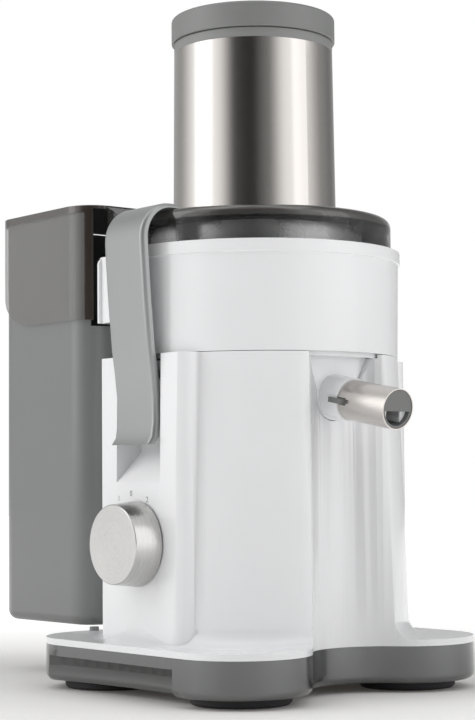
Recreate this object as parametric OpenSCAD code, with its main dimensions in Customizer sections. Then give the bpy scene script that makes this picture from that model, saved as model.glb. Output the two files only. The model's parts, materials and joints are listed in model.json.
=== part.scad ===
// Centrifugal juicer: a motor body on a lobed base, a bowl with a tilting-down spout,
// a clear lid with a steel feed tube, two hook latches and a pulp container at one side.
// Millimetres, +Z up. The worktop is z = 0. The control knob faces -Y and the spout +X.
// Every module is drawn around the motor axis; placed() then sets the object so that
// the middle of its footprint is the origin.

/* [Base] */
// Distance between the feet across the spout direction (X)
foot_span_x = 116; // [104:1:128]
// Distance between the feet from the knob side to the rear (Y)
foot_span_y = 122; // [112:1:134]
// Radius of each rubber foot
foot_r = 27; // [18:0.5:30]
// Height of the feet below the tray
foot_h = 5; // [3:0.5:8]
// Depth that each foot is let into the tray floor
foot_seat = 1.5; // [1:0.25:2]
// Radius of the base lobe around each foot
lobe_r = 38; // [34:0.5:42]
// Height of the grey tray
tray_h = 20.5; // [16:0.5:28]
// Wall of the tray
tray_wall = 3; // [2:0.25:4]
// Depth of the lifting recess in the tray's long sides
grip_depth = 9; // [5:0.5:12]
// Thickness of the white deck that closes the tray
deck_h = 3.5; // [2.5:0.25:6]

/* [Motor body] */
// Height of the motor body above the deck
body_h = 157; // [145:1:180]
// Radius of the body at the seam under the bowl
body_top_r = 81.5; // [80:0.5:86]
// Radius of the body just above its foot fillet
body_low_r = 86; // [84:0.5:88]
// Radius of the concave fillet between body and deck
flare_r = 10; // [6:0.5:12]
// Wall of the moulded shells
wall = 2.6; // [2:0.1:3.2]
// Width of the flat panels that carry the latches
panel_w = 78; // [66:1:90]
// Distance from the motor axis to a panel at the seam
panel_reach = 84; // [83:0.5:88]
// Extra reach of a panel at the deck
panel_draft = 2; // [0.5:0.5:3]
// Corner radius of the panels
panel_round = 10; // [6:1:14]
// Distance from the motor axis to the deepest line of the jug bay
bay_reach = 65; // [62:0.5:68]

/* [Bowl] */
// Height of the bowl from the seam to the collar's top
bowl_h = 60.5; // [56:0.5:70]
// Height of the collar
collar_h = 7; // [5:0.5:10]
// How far the collar stands proud of the bowl wall
collar_proud = 1; // [0.5:0.25:2]
// Draft of the bowl wall, as extra radius at its top
bowl_draft = 1; // [0:0.25:2]
// Outer radius of the inner wall that catches the juice
juice_wall_r = 60.2; // [58:0.2:61]
// Depth of the pulp channel below the collar's top
pulp_depth = 32; // [26:1:36]
// Height of the pulp duct's sides above the collar's top
duct_rise = 5.5; // [3:0.5:8]
// Half width of the pulp duct
duct_half = 45.5; // [38:0.5:46]

/* [Lid and feed tube] */
// Height of the lid above the collar
lid_h = 19.5; // [18:0.5:26]
// Radius of the lid
lid_r = 78.5; // [76:0.5:79]
// Thickness of the clear mouldings
clear_wall = 2; // [1.5:0.1:2.4]
// Radius of the lid's rounded top edge
lid_round = 5; // [3:0.5:7]
// Bore radius of the feed tube
chute_r = 42; // [36:0.5:42]
// Height of the steel sleeve above the lid
sleeve_h = 99; // [80:1:120]
// Outer radius of the steel sleeve at its top
sleeve_r = 46.1; // [45.8:0.1:47]
// Extra radius of the sleeve at its foot
sleeve_draft = 1; // [0:0.25:1.5]
// Sheet thickness of the steel sleeve
sheet = 0.8; // [0.6:0.1:1]
// Height of the grey ring on top of the sleeve
rim_h = 5.5; // [4:0.5:8]

/* [Pusher] */
// Height of the pusher's cap
cap_h = 14.5; // [10:0.5:20]
// Radius of the pusher's cap
cap_r = 47.6; // [46:0.1:50]
// Clearance between the pusher and the feed tube
pusher_gap = 0.8; // [0.5:0.1:1.5]

/* [Spout] */
// Slope of the spout below the horizontal
spout_slope = 10.3; // [6:0.1:14]
// Height of the spout axis above the worktop where it leaves the jug bay
spout_z = 163; // [158:0.5:166]
// Length of the white stub
stub_len = 16.5; // [12:0.5:20]
// Radius of the white stub
stub_r = 12; // [11.5:0.1:13]
// Length of the steel spout sleeve
spout_len = 35.2; // [28:0.2:44]
// Radius of the steel spout sleeve
spout_r = 11.1; // [10.6:0.1:11.4]

/* [Control knob] */
// Radius of the knob's face
knob_face_r = 21.6; // [16:0.2:23]
// Radius of the knob at its back
knob_back_r = 23.4; // [18:0.2:26]
// Depth of the knob
knob_depth = 16.4; // [12:0.2:20]
// Height of the knob's axis above the worktop
knob_z = 83; // [76:0.5:90]

/* [Latches] */
// Width of a latch arm
latch_w = 36; // [28:1:40]
// Thickness of a latch arm
latch_t = 4; // [3:0.25:5]
// Width of the recess behind a latch
recess_w = 40; // [34:1:44]
// Depth of the recess behind a latch
recess_depth = 16; // [13:0.5:18]
// Height of the latch pivot above the worktop
pivot_z = 160; // [154:0.5:164]
// Radius of the pivot pins
pin_r = 2; // [1.5:0.25:2.5]

/* [Pulp container] */
// Length of the container along X
bin_l = 97.5; // [80:0.5:110]
// Width of the container along Y
bin_w = 110; // [100:1:116]
// Distance from the motor axis to the container's inner face
bin_reach = 93; // [92.5:0.5:98]
// Wall of the container
bin_wall = 2; // [1.6:0.1:2.6]
// Corner radius of the container
bin_round = 17; // [8:1:18]
// Gap between the deck and the container's floor
bin_lift = 2.5; // [2:0.25:4]
// How far the pull lip stands out at the top
lip_out = 8; // [4:0.5:12]
// Height of the clear cover above the collar's top
cover_rise = 37.5; // [34:0.5:42]

/* [Drive] */
// Radius of the motor shaft
shaft_r = 5; // [4:0.25:6]
// Outer radius of the stator
stator_r = 46; // [40:0.5:47]
// Height of the stator
stator_h = 50; // [40:1:54]
// Outer radius of the ball bearings
bearing_r = 13; // [11:0.5:14]
// Radius of the filter's rim band
filter_r = 62; // [61.8:0.1:64]
// Radius of the cutting disc
disc_r = 43; // [38:0.5:44]

/* [Hidden] */
$fn = 96;

eps = 0.05;            // overlap that makes a cut run clean through a face
run = 0.05;            // radial clearance of a running fit
free = 0.4;            // gap between pieces that move past each other
touch = 0.3;           // gap at a visible joint line

// Heights above the worktop
tray_z = foot_h;
deck_z = tray_z + tray_h;
deck_top = deck_z + deck_h;
seam_z = deck_top + body_h;
collar_z = seam_z + bowl_h;
lid_top = collar_z + lid_h;
sleeve_top = lid_top + sleeve_h;
rim_top = sleeve_top + rim_h;
cap_z = rim_top + touch;
top_plate = seam_z - 4.5;      // underside of the plate over the motor
plate_t = 2.5;
well_z = top_plate + plate_t;  // floor of the well that the bowl sits in

// Jug bay: its arc runs smoothly into the two lobes beside it
foot_x = foot_span_x / 2;
foot_y = foot_span_y / 2;
bay_in = bay_reach - foot_x;
bay_r = (bay_in * bay_in + foot_y * foot_y - lobe_r * lobe_r) / (2 * (lobe_r - bay_in));
bay_x = bay_reach + bay_r;
bay_share = lobe_r / (lobe_r + bay_r);
waist_x = foot_x + (bay_x - foot_x) * bay_share;
waist_y = foot_y * (1 - bay_share);

// Fasteners of the tray, let into the feet
screw_r = 1.9;
hole_r = screw_r + 0.3;
post_r = 5.5;           // posts in the tray around the screws
vent_pitch = 9;
vent_w = 4;
vent_l = 60;
head_r = 4.2;
head_h = 2.4;
head_z = foot_h - 1.5;
peg_r = 2.8;            // pegs that locate the container on the deck
grip_band = 6;         // height of the tray band that stays whole above the lifting recess

// Distance from the motor axis to a panel's face at a height
function panel_y(z) = panel_reach + panel_draft * (seam_z - z) / body_h;

// Bowl
bowl_r = body_top_r + bowl_draft;
collar_r = bowl_r + collar_proud;
juice_floor = seam_z + 3.5;
cup_under = juice_floor - wall;
pulp_floor = collar_z - pulp_depth;
duct_top = collar_z + duct_rise;
duct_x = bin_reach - 1.5;
flange_half = duct_half + 2;
flange_round = 5;
duct_in = 64;            // inner end of the duct, inside the pulp channel

// Spout housing below the bowl, and the notch in the body that takes it
apron_half = 25;
apron_neck = stub_r + 1.5;
apron_in = 41;
apron_face = bay_reach + 2.5;
sump_half = 9;
stub_bore = 7;
nose_r = 9;
core_r = spout_r - 0.6;
notch_half = 5;
spindle_r = 3;          // of the control knob

// Latches
pivot_y = panel_reach - 6;
scoop_z = pivot_z - 42.5;
hook_gap = 0.4;
hook_t = 2.6;           // thickness of the hook over the lid
hook_z = lid_top + hook_gap + hook_t;
hook_round = 20;
hook_face = panel_reach + 10.8;
hook_reach = lid_r - 9;
latch_lip_z = pivot_z - 23;
recess_half = recess_w / 2;
plunger_z = pivot_z + 16;
plunger_r = 2.5;
plunger_tip = panel_reach + 4.1 - latch_t - free;   // just inside the front arm
plunger_len = recess_depth + wall + 6.4;
cord_z = deck_top + 22;
cord_r = 3.6;
cord_hole_r = 6;

// Filter and cutting disc
filter_floor = seam_z + 17;
filter_top = collar_z + 8.5;
band_low = collar_z + 0.5;
band_top = collar_z + 13;
chute_end = filter_floor + 9;
chute_out = chute_r + 3.1;
hub_r = 13.5;
basket_foot = disc_r + 4.4;   // inner radius of the filter at its floor
socket_r = 11.3;
coupling_top = seam_z + 11.5;

// Motor stack
fan_z = tray_z + 27;
bracket_low_z = fan_z + 16;
stator_z = bracket_low_z + 14;
rotor_gap = 1;
rotor_r = 29;
brush_z = stator_z + stator_h + 12;
bracket_top_z = brush_z + 12;
bracket_r = stator_r + 6;
bolt_ring = stator_r + 2.6;
boss_ring = stator_r;
boss_r = 4.5;
bolt_r = 2;
stud_r = 1.6;
brush_w = 8;
commutator_r = 12;
bearing_h = 8;
plate_h = 4;

// Pulp container
bin_z = deck_top + bin_lift;
bin_far = bin_reach + bin_l;
cover_top = collar_z + cover_rise;
bin_top = cover_top - clear_wall - touch;
cover_low = pulp_floor;
inlet_half = flange_half + 1;
canopy_half = duct_half - 4.5;
roof_gap = 0.9;          // between the lid's roof and the container's cover
canopy_x = bin_reach - touch - clear_wall - roof_gap;
cover_corner = 37;       // radius of the cover's lower far corner
cover_end = bin_far - 3;

// Footprint centre
spout_tip = bay_reach + (stub_len + touch + spout_len) * cos(spout_slope)
    + spout_r * sin(spout_slope);
stand_x = (bin_far + lip_out - spout_tip) / 2;

module placed() translate([stand_x, 0, 0]) children();

// Draws its child on the knob side and, turned about the motor axis, at the rear
module rear() rotate([0, 0, 180]) children();

// A ring or tube standing on the motor axis
module tube(z, h, outer, inner) translate([0, 0, z]) difference() {
    cylinder(h = h, r = outer);
    translate([0, 0, -1]) cylinder(h = h + 2, r = inner);
}

// A tapered tube of even wall
module tapered_tube(z, h, low_r, high_r, thick) translate([0, 0, z]) difference() {
    cylinder(h = h, r1 = low_r, r2 = high_r);
    translate([0, 0, -eps]) cylinder(h = h + 2 * eps, r1 = low_r - thick, r2 = high_r - thick);
}

// A section given as (y, z) points or shapes, drawn across the given width of X
module across(width) rotate([90, 0, 90]) linear_extrude(width, center = true) children();

// A section given in (x, z), drawn across the given width of Y
module along_y(width) rotate([90, 0, 0]) linear_extrude(width, center = true) children();

// A rectangle with four round corners, centred
module round_rect(w, d, r) {
    square([w - 2 * r, d], center = true);
    square([w, d - 2 * r], center = true);
    for (x = [-1, 1], y = [-1, 1])
        translate([x * (w / 2 - r), y * (d / 2 - r)]) circle(r);
}

// Puts its child on the spout axis: +X runs down the spout from the jug bay
module on_spout_axis() translate([bay_reach, 0, spout_z]) rotate([0, spout_slope, 0]) children();

// A cylinder along the spout axis, from one distance to another
module spout_rod(from, to, r) on_spout_axis() translate([from, 0, 0])
    rotate([0, 90, 0]) cylinder(h = to - from, r = r);

// ---------------------------------------------------------------- base

// Outline of the deck: four lobes, straight sides and the jug bay
module base_outline(inset = 0) difference() {
    union() {
        for (x = [-1, 1], y = [-1, 1])
            translate([x * foot_x, y * foot_y]) circle(lobe_r - inset);
        square([2 * foot_x, 2 * (foot_y + lobe_r - inset)], center = true);
        translate([-foot_x - lobe_r + inset, -foot_y])
            square([foot_x + lobe_r, foot_span_y]);
        translate([0, -waist_y]) square([waist_x - inset, 2 * waist_y]);
    }
    translate([bay_x, 0]) circle(bay_r + inset);
}

// The lifting recess under the deck at one long side: a shallow arc that starts on one
// lobe and ends square against the next
module grip_cut(inset = 0) intersection() {
    side_y = foot_y + lobe_r;
    half_chord = lobe_r + foot_x - 6;
    bulge_r = (half_chord * half_chord + grip_depth * grip_depth) / (2 * grip_depth);
    translate([foot_x / 4, -side_y - bulge_r + grip_depth + inset]) circle(bulge_r);
    translate([-foot_span_x, -side_y - 1])
        square([foot_span_x + foot_x - 10 + inset, side_y]);
}

module tray_block(inset) difference() {
    translate([0, 0, tray_z + inset]) linear_extrude(tray_h) base_outline(inset);
    for (turn = [0, 180]) rotate([0, 0, turn]) translate([0, 0, tray_z - 1])
        linear_extrude(tray_h - grip_band + 1 + inset) grip_cut(inset);
}

module base_tray() color("dimgray") difference() {
    intersection() {
        tray_block(0);
        translate([0, 0, tray_z + tray_h / 2]) cube([400, 400, tray_h], center = true);
    }
    difference() {
        tray_block(tray_wall);
        for (x = [-1, 1], y = [-1, 1]) translate([x * foot_x, y * foot_y, 0])
            cylinder(h = deck_z, r = post_r);
    }
    for (x = [-1, 1], y = [-1, 1]) translate([x * foot_x, y * foot_y, 0]) {
        translate([0, 0, tray_z - eps]) cylinder(h = foot_seat + eps, r = foot_r);
        cylinder(h = deck_z + 1, r = hole_r);
    }
    for (i = [-3:3]) translate([i * vent_pitch, 0, tray_z + tray_wall / 2])
        cube([vent_w, vent_l, tray_wall + 2], center = true);
}

module foot(x, y) color("darkslategray") translate([x * foot_x, y * foot_y, 0])
    rotate_extrude() difference() {
        square([foot_r, foot_h + foot_seat]);
        square([hole_r, foot_h + foot_seat]);
        square([head_r + 1, head_z]);
        translate([foot_r, 0]) rotate(45) square(1.8, center = true);
    }

module tray_screws() color("silver") for (x = [-1, 1], y = [-1, 1])
    translate([x * foot_x, y * foot_y, 0]) {
        translate([0, 0, head_z - head_h]) cylinder(h = head_h, r = head_r);
        translate([0, 0, head_z - 0.5]) cylinder(h = deck_z + 2.5 - head_z, r = screw_r);
    }

module container_pegs() color("gray") for (side = [-1, 1])
    translate([-bin_reach, side * (bin_w / 2 - 2 * peg_r), deck_top])
        cylinder(h = bin_lift - touch, r = peg_r);

// ---------------------------------------------------------------- motor body

// The round part of the body, with its foot fillet
module body_profile() {
    polygon([[0, deck_z], [body_low_r, deck_z], [body_low_r, deck_top + flare_r],
        [body_top_r, seam_z], [0, seam_z]]);
    difference() {
        translate([body_low_r - 1, deck_z]) square([flare_r + 1, deck_h + flare_r]);
        translate([body_low_r + flare_r, deck_top + flare_r]) circle(flare_r);
    }
}

// The flat panel at the knob side and at the rear; inset leaves the moulded wall
module panels(inset, low, high) intersection() {
    across(panel_w) for (side = [-1, 1]) polygon([[0, low], [0, high],
        [side * (panel_reach - inset), high],
        [side * (panel_reach + panel_draft - inset), deck_top],
        [side * (panel_reach + panel_draft - inset), low]]);
    translate([0, 0, low]) linear_extrude(high - low)
        round_rect(panel_w - 2 * inset, 2 * (panel_reach + panel_draft - inset),
            panel_round - inset);
}

// The latch recess with the finger scoop under it, on the knob side
module latch_recess(grow) {
    back = panel_reach - recess_depth - grow;
    low = scoop_z - grow * 1.4;
    out = panel_reach + 9;
    across(recess_w + 2 * grow) polygon([[-out, low - 9], [-back, low + recess_depth + grow],
        [-back, seam_z + 1], [-out, seam_z + 1]]);
}

// Outline of the spout housing in (y, z): wide at the seam, round around the spout
module apron_outline(grow) {
    neck = apron_neck + grow;
    translate([0, spout_z]) circle(neck);
    polygon([[-apron_half - grow, seam_z + 1], [-neck + 1.2, spout_z + 1], [neck - 1.2, spout_z + 1],
        [apron_half + grow, seam_z + 1]]);
}

module apron_block(grow, from, to) rotate([90, 0, 90])
    translate([0, 0, from]) linear_extrude(to - from) apron_outline(grow);

module housing_cavity() difference() {
    union() {
        rotate_extrude() polygon([[0, deck_z - 1], [body_low_r - wall, deck_z - 1],
            [body_low_r - wall, deck_top + flare_r], [body_top_r - wall, top_plate],
            [0, top_plate]]);
        panels(wall, deck_z - 1, top_plate);
    }
    translate([bay_x, 0, 0]) cylinder(h = seam_z, r = bay_r + wall);
    latch_recess(wall);
    rear() latch_recess(wall);
    apron_block(free + wall, apron_in - free - wall, bay_x);
    for (turn = [45:90:315]) rotate([0, 0, turn]) translate([boss_ring, 0, bracket_top_z + plate_h])
        cylinder(h = seam_z, r = boss_r);
}

module motor_housing() color("whitesmoke") difference() {
    union() {
        translate([0, 0, deck_z]) linear_extrude(deck_h) base_outline();
        intersection() {
            union() {
                rotate_extrude() body_profile();
                panels(0, deck_z, seam_z);
            }
            translate([0, 0, deck_z]) linear_extrude(body_h + deck_h) difference() {
                square([2 * (bin_reach - 2), 400], center = true);
                translate([bay_x, 0]) circle(bay_r);
            }
            translate([0, 0, deck_z]) linear_extrude(body_h + deck_h) union() {
                base_outline();
                circle(body_top_r);
            }
        }
    }
    housing_cavity();
    translate([0, 0, well_z]) cylinder(h = 10, r = body_top_r - wall);
    latch_recess(0);
    rear() latch_recess(0);
    apron_block(free, apron_in - free, bay_x);
    translate([0, 0, seam_z - 20]) cylinder(h = 40, r = hub_r + 2);
    for (turn = [0, 180]) rotate([0, 0, turn])
        translate([0, -pivot_y, pivot_z]) rotate([0, 90, 0])
            cylinder(h = recess_w + 2 * wall - 1, r = pin_r, center = true);
    translate([0, -panel_reach, plunger_z]) rotate([-90, 0, 0])
        cylinder(h = recess_depth + wall + 2, r = plunger_r + run);
    translate([0, -panel_reach - 9, knob_z]) rotate([-90, 0, 0]) cylinder(h = 20, r = 4.5);
    translate([0, panel_reach - 9, cord_z]) rotate([-90, 0, 0])
        cylinder(h = 20, r = cord_hole_r);
    for (turn = [45:90:315]) rotate([0, 0, turn])
        translate([boss_ring, 0, bracket_top_z + plate_h - 1]) cylinder(h = 11, r = stud_r);
    for (x = [-1, 1], y = [-1, 1]) translate([x * foot_x, y * foot_y, deck_z - 1])
        cylinder(h = 3, r = screw_r);
}

// Grommet at the mains entry, low on the rear panel
module cord_inlet() color("black") translate([0, panel_y(cord_z), cord_z]) rotate([-90, 0, 0])
    difference() {
        union() {
            translate([0, 0, -wall - 2.5]) cylinder(h = 4 + wall, r = cord_hole_r);
            translate([0, 0, touch]) cylinder(h = 4, r1 = cord_hole_r + 3, r2 = cord_hole_r + 1.5);
            translate([0, 0, -wall - 2.5]) cylinder(h = 2, r = cord_hole_r + 2);
        }
        translate([0, 0, -10]) cylinder(h = 30, r = cord_r);
    }

// ---------------------------------------------------------------- bowl

// Inner radius of the bowl's outer wall at a height
function bowl_in(z) = body_top_r - wall + bowl_draft * (z - seam_z) / bowl_h;

// Half section: outer wall with collar, and the floor of the pulp channel
module bowl_section() polygon([[body_top_r, seam_z + touch], [bowl_r, collar_z - collar_h],
    [collar_r, collar_z - collar_h], [collar_r, collar_z], [bowl_in(collar_z), collar_z],
    [bowl_in(pulp_floor), pulp_floor], [juice_wall_r, pulp_floor],
    [juice_wall_r, pulp_floor - wall], [bowl_in(pulp_floor - wall), pulp_floor - wall],
    [body_top_r - wall, seam_z + touch]]);

// Half section: juice wall, juice floor, the ring that locates it in the body, and the
// upstand around the drive
module cup_section() {
    catch_in = juice_wall_r - 2;
    catch_top = filter_top - 2;
    stand_in = hub_r + 2;
    stand_out = hub_r + 4;
    stand_top = juice_floor + 9.5;
    ring_out = body_top_r - wall - 1.5;
    ring_in = ring_out - 2;
    polygon([[juice_wall_r, catch_top], [catch_in, catch_top], [catch_in, juice_floor],
        [stand_out, juice_floor], [stand_out, stand_top], [stand_in, stand_top],
        [stand_in, cup_under], [ring_in, cup_under], [ring_in, well_z], [ring_out, well_z],
        [ring_out, juice_floor], [juice_wall_r, juice_floor]]);
}

// Block over the pulp duct's width, from inside the outer wall to the given reach
module duct(half, low, high, to) translate([-to, -half, low])
    cube([to - duct_in, 2 * half, high - low]);

module bowl() color("white") difference() {
    union() {
        rotate_extrude() bowl_section();
        duct(duct_half, pulp_floor - wall, duct_top, duct_x);
        translate([-duct_x, 0, 0]) flange();
    }
    duct(duct_half - wall, pulp_floor, duct_top + 1, duct_x + 1);
    translate([0, 0, collar_z]) cylinder(h = 2 * duct_rise, r = lid_r + touch);
}

// The shaft that drains the juice down to the spout
module sump() translate([apron_in + wall, -sump_half, spout_z - stub_bore])
    cube([14, 2 * sump_half, juice_floor - spout_z + stub_bore + 1]);

module juice_cup() color("white") difference() {
    rotate_extrude() cup_section();
    sump();
}

module spout_housing() color("white") difference() {
    union() {
        apron_block(0, apron_in, apron_face);
        spout_rod(0, stub_len, stub_r);
        spout_rod(1, stub_len + spout_len - 3, nose_r);
    }
    sump();
    spout_rod(-10, stub_len + spout_len - 4.5, stub_bore);
    spout_notch();
    translate([0, -2 * apron_half, cup_under]) cube([bay_x, 4 * apron_half, bowl_h]);
}

// Plate around the duct's mouth, with round upper corners
module flange() rotate([90, 0, 90]) linear_extrude(2) {
    low = pulp_floor - wall;
    translate([-flange_half, low]) square([2 * flange_half, duct_top - low - flange_round]);
    translate([flange_round - flange_half, low])
        square([2 * (flange_half - flange_round), duct_top - low]);
    for (side = [-1, 1]) translate([side * (flange_half - flange_round), duct_top - flange_round])
        circle(flange_round);
}

// Slot along the underside of the bowl's nose, where the juice runs out
module spout_notch() on_spout_axis() translate([20, -notch_half, -20])
    cube([60, 2 * notch_half, 19]);

module bowl_seal() color("gray") difference() {
    tube(collar_z - 2.5, 2.5, bowl_r - wall - touch / 2, bowl_r - wall - 1.6);
    duct(duct_half + touch, pulp_floor, duct_top, duct_x);
}

// ---------------------------------------------------------------- lid and tube

// Half section of the lid's shell, shrunk by the given wall
module lid_profile(inset, low) {
    r = lid_r - inset;
    top = lid_top - inset;
    square_r = r - lid_round + inset;
    translate([0, low]) square([square_r, top - low]);
    translate([0, low]) square([r, top - lid_round + inset - low]);
    translate([square_r, top - lid_round + inset]) circle(lid_round - inset);
}

// The sloping roof that leads the pulp into the container
module canopy(inset) along_y(2 * (canopy_half - inset)) polygon([
    [-lid_r + 25, collar_z + touch - inset], [-lid_r + 25, lid_top - 2 - inset],
    [-lid_r + 20, lid_top - inset], [-canopy_x - inset, cover_top - 1 - inset],
    [-canopy_x - inset, duct_top + touch - inset], [-lid_r - 2, duct_top + touch - inset],
    [-lid_r - 2, collar_z + touch - inset]]);

module lid() color("slategray", 0.5) {
    difference() {
        union() {
            rotate_extrude() lid_profile(0, collar_z + touch);
            canopy(0);
        }
        translate([0, 0, -1]) rotate_extrude() lid_profile(clear_wall, collar_z);
        translate([0, 0, collar_z]) cylinder(h = lid_h - clear_wall - 1, r = lid_r - clear_wall);
        canopy(clear_wall);
        translate([0, 0, collar_z]) cylinder(h = 60, r = chute_out);
    }
    difference() {
        tube(collar_z - 4, 6, bowl_r - wall - 2, bowl_r - wall - 4);
        duct(canopy_half - clear_wall, collar_z - 5, collar_z + 3, duct_x);
        duct(duct_half + touch, collar_z - 5, collar_z + touch, duct_x);
    }
}

// Clear liner of the feed tube, set into the lid and ending just over the cutting disc
module feed_chute() color("slategray", 0.5) {
    shoulder = lid_top - clear_wall;
    tube(chute_end, shoulder - chute_end, chute_r + clear_wall, chute_r);
    tube(shoulder, sleeve_top - shoulder, chute_out, chute_r);
}

module tube_sleeve() color("silver")
    tapered_tube(lid_top, sleeve_h, sleeve_r + sleeve_draft, sleeve_r, sheet);

module tube_rim() color("darkgray") tube(sleeve_top, rim_h, sleeve_r, chute_r);

// ---------------------------------------------------------------- pusher

module pusher_cap() color("gray") difference() {
    rotate_extrude() {
        square([cap_r, cap_h - 2]);
        square([cap_r - 2, cap_h]);
        translate([cap_r - 2, cap_h - 2]) circle(2);
    }
    translate([0, 0, -1]) cylinder(h = cap_h - 2, r = cap_r - 4);
}

module pusher_body() color("lightgray") {
    r = chute_r - pusher_gap;
    low = chute_end + 1;
    translate([0, 0, low]) difference() {
        cylinder(h = cap_z - low + cap_h - 3, r = r);
        translate([0, 0, 2.5]) cylinder(h = cap_z + cap_h, r = r - 2.5);
    }
}

// ---------------------------------------------------------------- spout

module spout_sleeve() color("silver") {
    start = stub_len + touch;
    difference() {
        spout_rod(start, start + spout_len, spout_r);
        spout_rod(start - 1, start + spout_len + 1, core_r);
        on_spout_axis() translate([start - 1, -spout_r - 2, -2.5]) cube([7, 6, 4]);
    }
}

// Grey insert with the half-moon mouth and the thumb lug
module spout_core() color("dimgray") {
    start = stub_len + touch;
    end = start + spout_len - 0.4;
    difference() {
        spout_rod(start, end, core_r);
        spout_rod(start - 1, end - 1.8, nose_r + run);
        on_spout_axis() intersection() {
            translate([end - 3, 0, 0]) rotate([0, 90, 0]) cylinder(h = 6, r = nose_r);
            translate([end - 4, -20, -21.2]) cube([8, 40, 20]);
        }
    }
    on_spout_axis() translate([start - 5, -stub_r - 1.7, -1.9]) cube([10.6, 1.3, 2.8]);
    on_spout_axis() translate([start + 0.4, -stub_r - 1, -1.9]) cube([5.2, 3, 2.8]);
}

// ---------------------------------------------------------------- control knob

module on_knob_axis() translate([0, -panel_y(knob_z) - 0.6, knob_z]) rotate([90, 0, 0]) children();

module knob_shell() color("silver") on_knob_axis() difference() {
    cylinder(h = knob_depth, r1 = knob_back_r, r2 = knob_face_r);
    translate([0, 0, -eps])
        cylinder(h = knob_depth - 1.5, r1 = knob_back_r - 1.2, r2 = knob_face_r - 1.2);
}

module knob_core() color("dimgray") on_knob_axis() difference() {
    union() {
        translate([0, 0, knob_depth - 4]) cylinder(h = 2.5 - eps, r = knob_face_r - 1.5);
        cylinder(h = knob_depth - 1.5 - eps, r = 7);
    }
    translate([0, 0, -1]) cylinder(h = knob_depth - 3, r = spindle_r);
}

module switch_spindle() color("lightgray") on_knob_axis()
    translate([0, 0, -8]) cylinder(h = knob_depth + 4, r = spindle_r);

module rotary_switch() color("ivory") {
    side = 28;
    face = panel_y(knob_z + side / 2) - wall - 0.1;
    difference() {
        union() {
            translate([-side / 2, -face, knob_z - side / 2]) cube([side, side / 2, side]);
            translate([0, -face + 1, knob_z]) rotate([90, 0, 0]) cylinder(h = 1 + wall, r = 4.3);
        }
        translate([0, 8 - face, knob_z]) rotate([90, 0, 0]) cylinder(h = 20, r = spindle_r + run);
    }
}

// ---------------------------------------------------------------- latches

// Centre points of the arm's outer face in (reach from the axis, height), from the lip up
function arm_face() = [[panel_reach + 7, latch_lip_z], [panel_reach + 4, latch_lip_z + 4],
    [panel_reach + 2.8, latch_lip_z + 12], [panel_reach + 3, pivot_z + 3],
    [panel_reach + 4.6, pivot_z + 17], [panel_reach + 6.4, pivot_z + 29],
    [panel_reach + 8.8, pivot_z + 57],
    [hook_face - 0.4, hook_z - hook_round - 8]];

// A quarter turn of the hook, from the upright face to the top
function hook_arc(thick, thick_top) = [for (a = [0:9:90])
    [hook_face - hook_round + (hook_round - thick) * cos(a),
        hook_z - hook_round + (hook_round - thick_top) * sin(a)]];

module latch_arm() {
    outer = concat(arm_face(), hook_arc(0, 0), [[hook_reach, hook_z]]);
    inner = concat([[hook_reach, hook_z - hook_t]],
        [for (i = [10:-1:0]) hook_arc(latch_t, hook_t)[i]],
        [for (i = [7:-1:0]) [arm_face()[i][0] - latch_t, arm_face()[i][1]]]);
    ear_r = 4.6;
    difference() {
        union() {
            across(latch_w) polygon([for (p = concat(outer, inner)) [-p[0], p[1]]]);
            for (side = [-1, 1]) translate([side * 12.5, 0, 0]) across(5) {
                translate([-pivot_y, pivot_z]) circle(ear_r);
                translate([-panel_reach, pivot_z - ear_r]) square([6, 2 * ear_r]);
            }
        }
        translate([0, -pivot_y, pivot_z]) rotate([0, 90, 0])
            cylinder(h = latch_w + 2, r = pin_r + run, center = true);
    }
}

module latch_pin() translate([0, -pivot_y, pivot_z]) rotate([0, 90, 0])
    cylinder(h = recess_w + 2 * wall - 1.2, r = pin_r, center = true);

// A close-wound torsion spring on the pin, one leg against the recess wall
module latch_spring() {
    wire_r = 0.6;
    turn_r = pin_r + wire_r + 0.4;
    back = panel_reach - recess_depth;
    translate([0, -pivot_y, pivot_z]) rotate([0, 90, 0])
        for (i = [-4:4]) translate([0, 0, i * wire_r * 1.9])
            rotate_extrude($fn = 48) translate([turn_r, 0]) circle(wire_r, $fn = 16);
    translate([4 * wire_r * 1.9, -pivot_y, pivot_z + turn_r]) rotate([-90, 0, 0])
        cylinder(h = pivot_y - back - 0.2, r = wire_r, $fn = 16);
}

module interlock_plunger() color("tomato") translate([0, -plunger_tip, plunger_z])
    rotate([-90, 0, 0]) {
        cylinder(h = plunger_len, r = plunger_r);
        translate([0, 0, plunger_len - 2]) cylinder(h = 2, r = 4.5);
    }

module interlock_switch() color("black")
    translate([-9, -plunger_tip + plunger_len + touch, plunger_z - 7])
        cube([18, 14, top_plate - plunger_z + 7]);

// ---------------------------------------------------------------- rotating drive

module filter_basket() color("lightsteelblue") rotate_extrude() {
    high = filter_r - 5.5;
    polygon([[basket_foot, filter_floor], [basket_foot + sheet, filter_floor],
        [high + sheet, filter_top - sheet], [filter_r - sheet, filter_top - sheet],
        [filter_r - sheet, band_low], [filter_r, band_low], [filter_r, band_top],
        [filter_r - sheet, band_top], [filter_r - sheet, filter_top],
        [high, filter_top], [basket_foot, filter_floor + sheet]]);
}

module basket_floor() color("silver") tube(filter_floor, sheet, basket_foot, hub_r - 1.5);

// Socket of the basket, with six ribs that sit between the coupling's lobes
module basket_hub() color("dimgray") {
    difference() {
        union() {
            translate([0, 0, juice_floor]) cylinder(h = filter_floor - juice_floor, r = hub_r);
            translate([0, 0, filter_floor]) cylinder(h = sheet + 1, r = hub_r - 1.5);
        }
        translate([0, 0, juice_floor - 1]) cylinder(h = coupling_top - juice_floor + 1, r = socket_r);
    }
    for (i = [0:5]) rotate([0, 0, 30 + i * 60]) translate([socket_r, 0, juice_floor + 1])
        cylinder(h = coupling_top - juice_floor, r = 1.8);
}

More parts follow.
